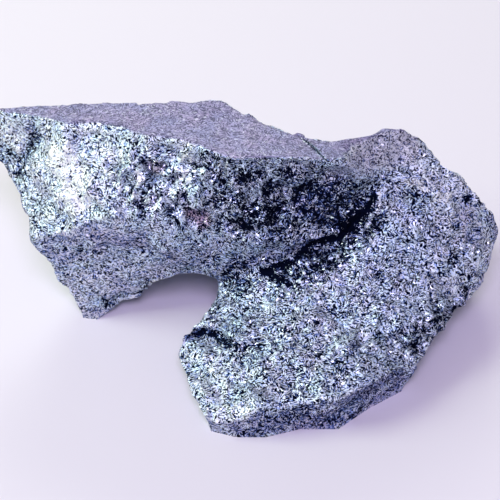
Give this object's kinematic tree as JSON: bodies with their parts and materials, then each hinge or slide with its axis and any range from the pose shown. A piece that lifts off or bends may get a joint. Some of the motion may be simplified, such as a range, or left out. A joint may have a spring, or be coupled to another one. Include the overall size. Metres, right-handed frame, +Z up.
{
  "type": "silicon metal lump",
  "caption": "Lump of crystalline silicon metal with a raised arm under a smooth cast skin, a wide hollow fracture face beside it, and a flat area that it rests on.",
  "frame": {"origin": "middle of the lump's footprint box, on the surface that it rests on", "axes": "+X along the lump from the arm's tip to the right limb's beak, +Y from the front to the back, +Z up"},
  "size_m": [0.1036, 0.0602, 0.0423],
  "materials": {
    "silicon": "glittering blue-grey crystal breaks with a matte purple-grey cast skin on top of the arm"
  },
  "bodies": {
    "root": {"lump": "silicon"}
  },
  "joints": []
}
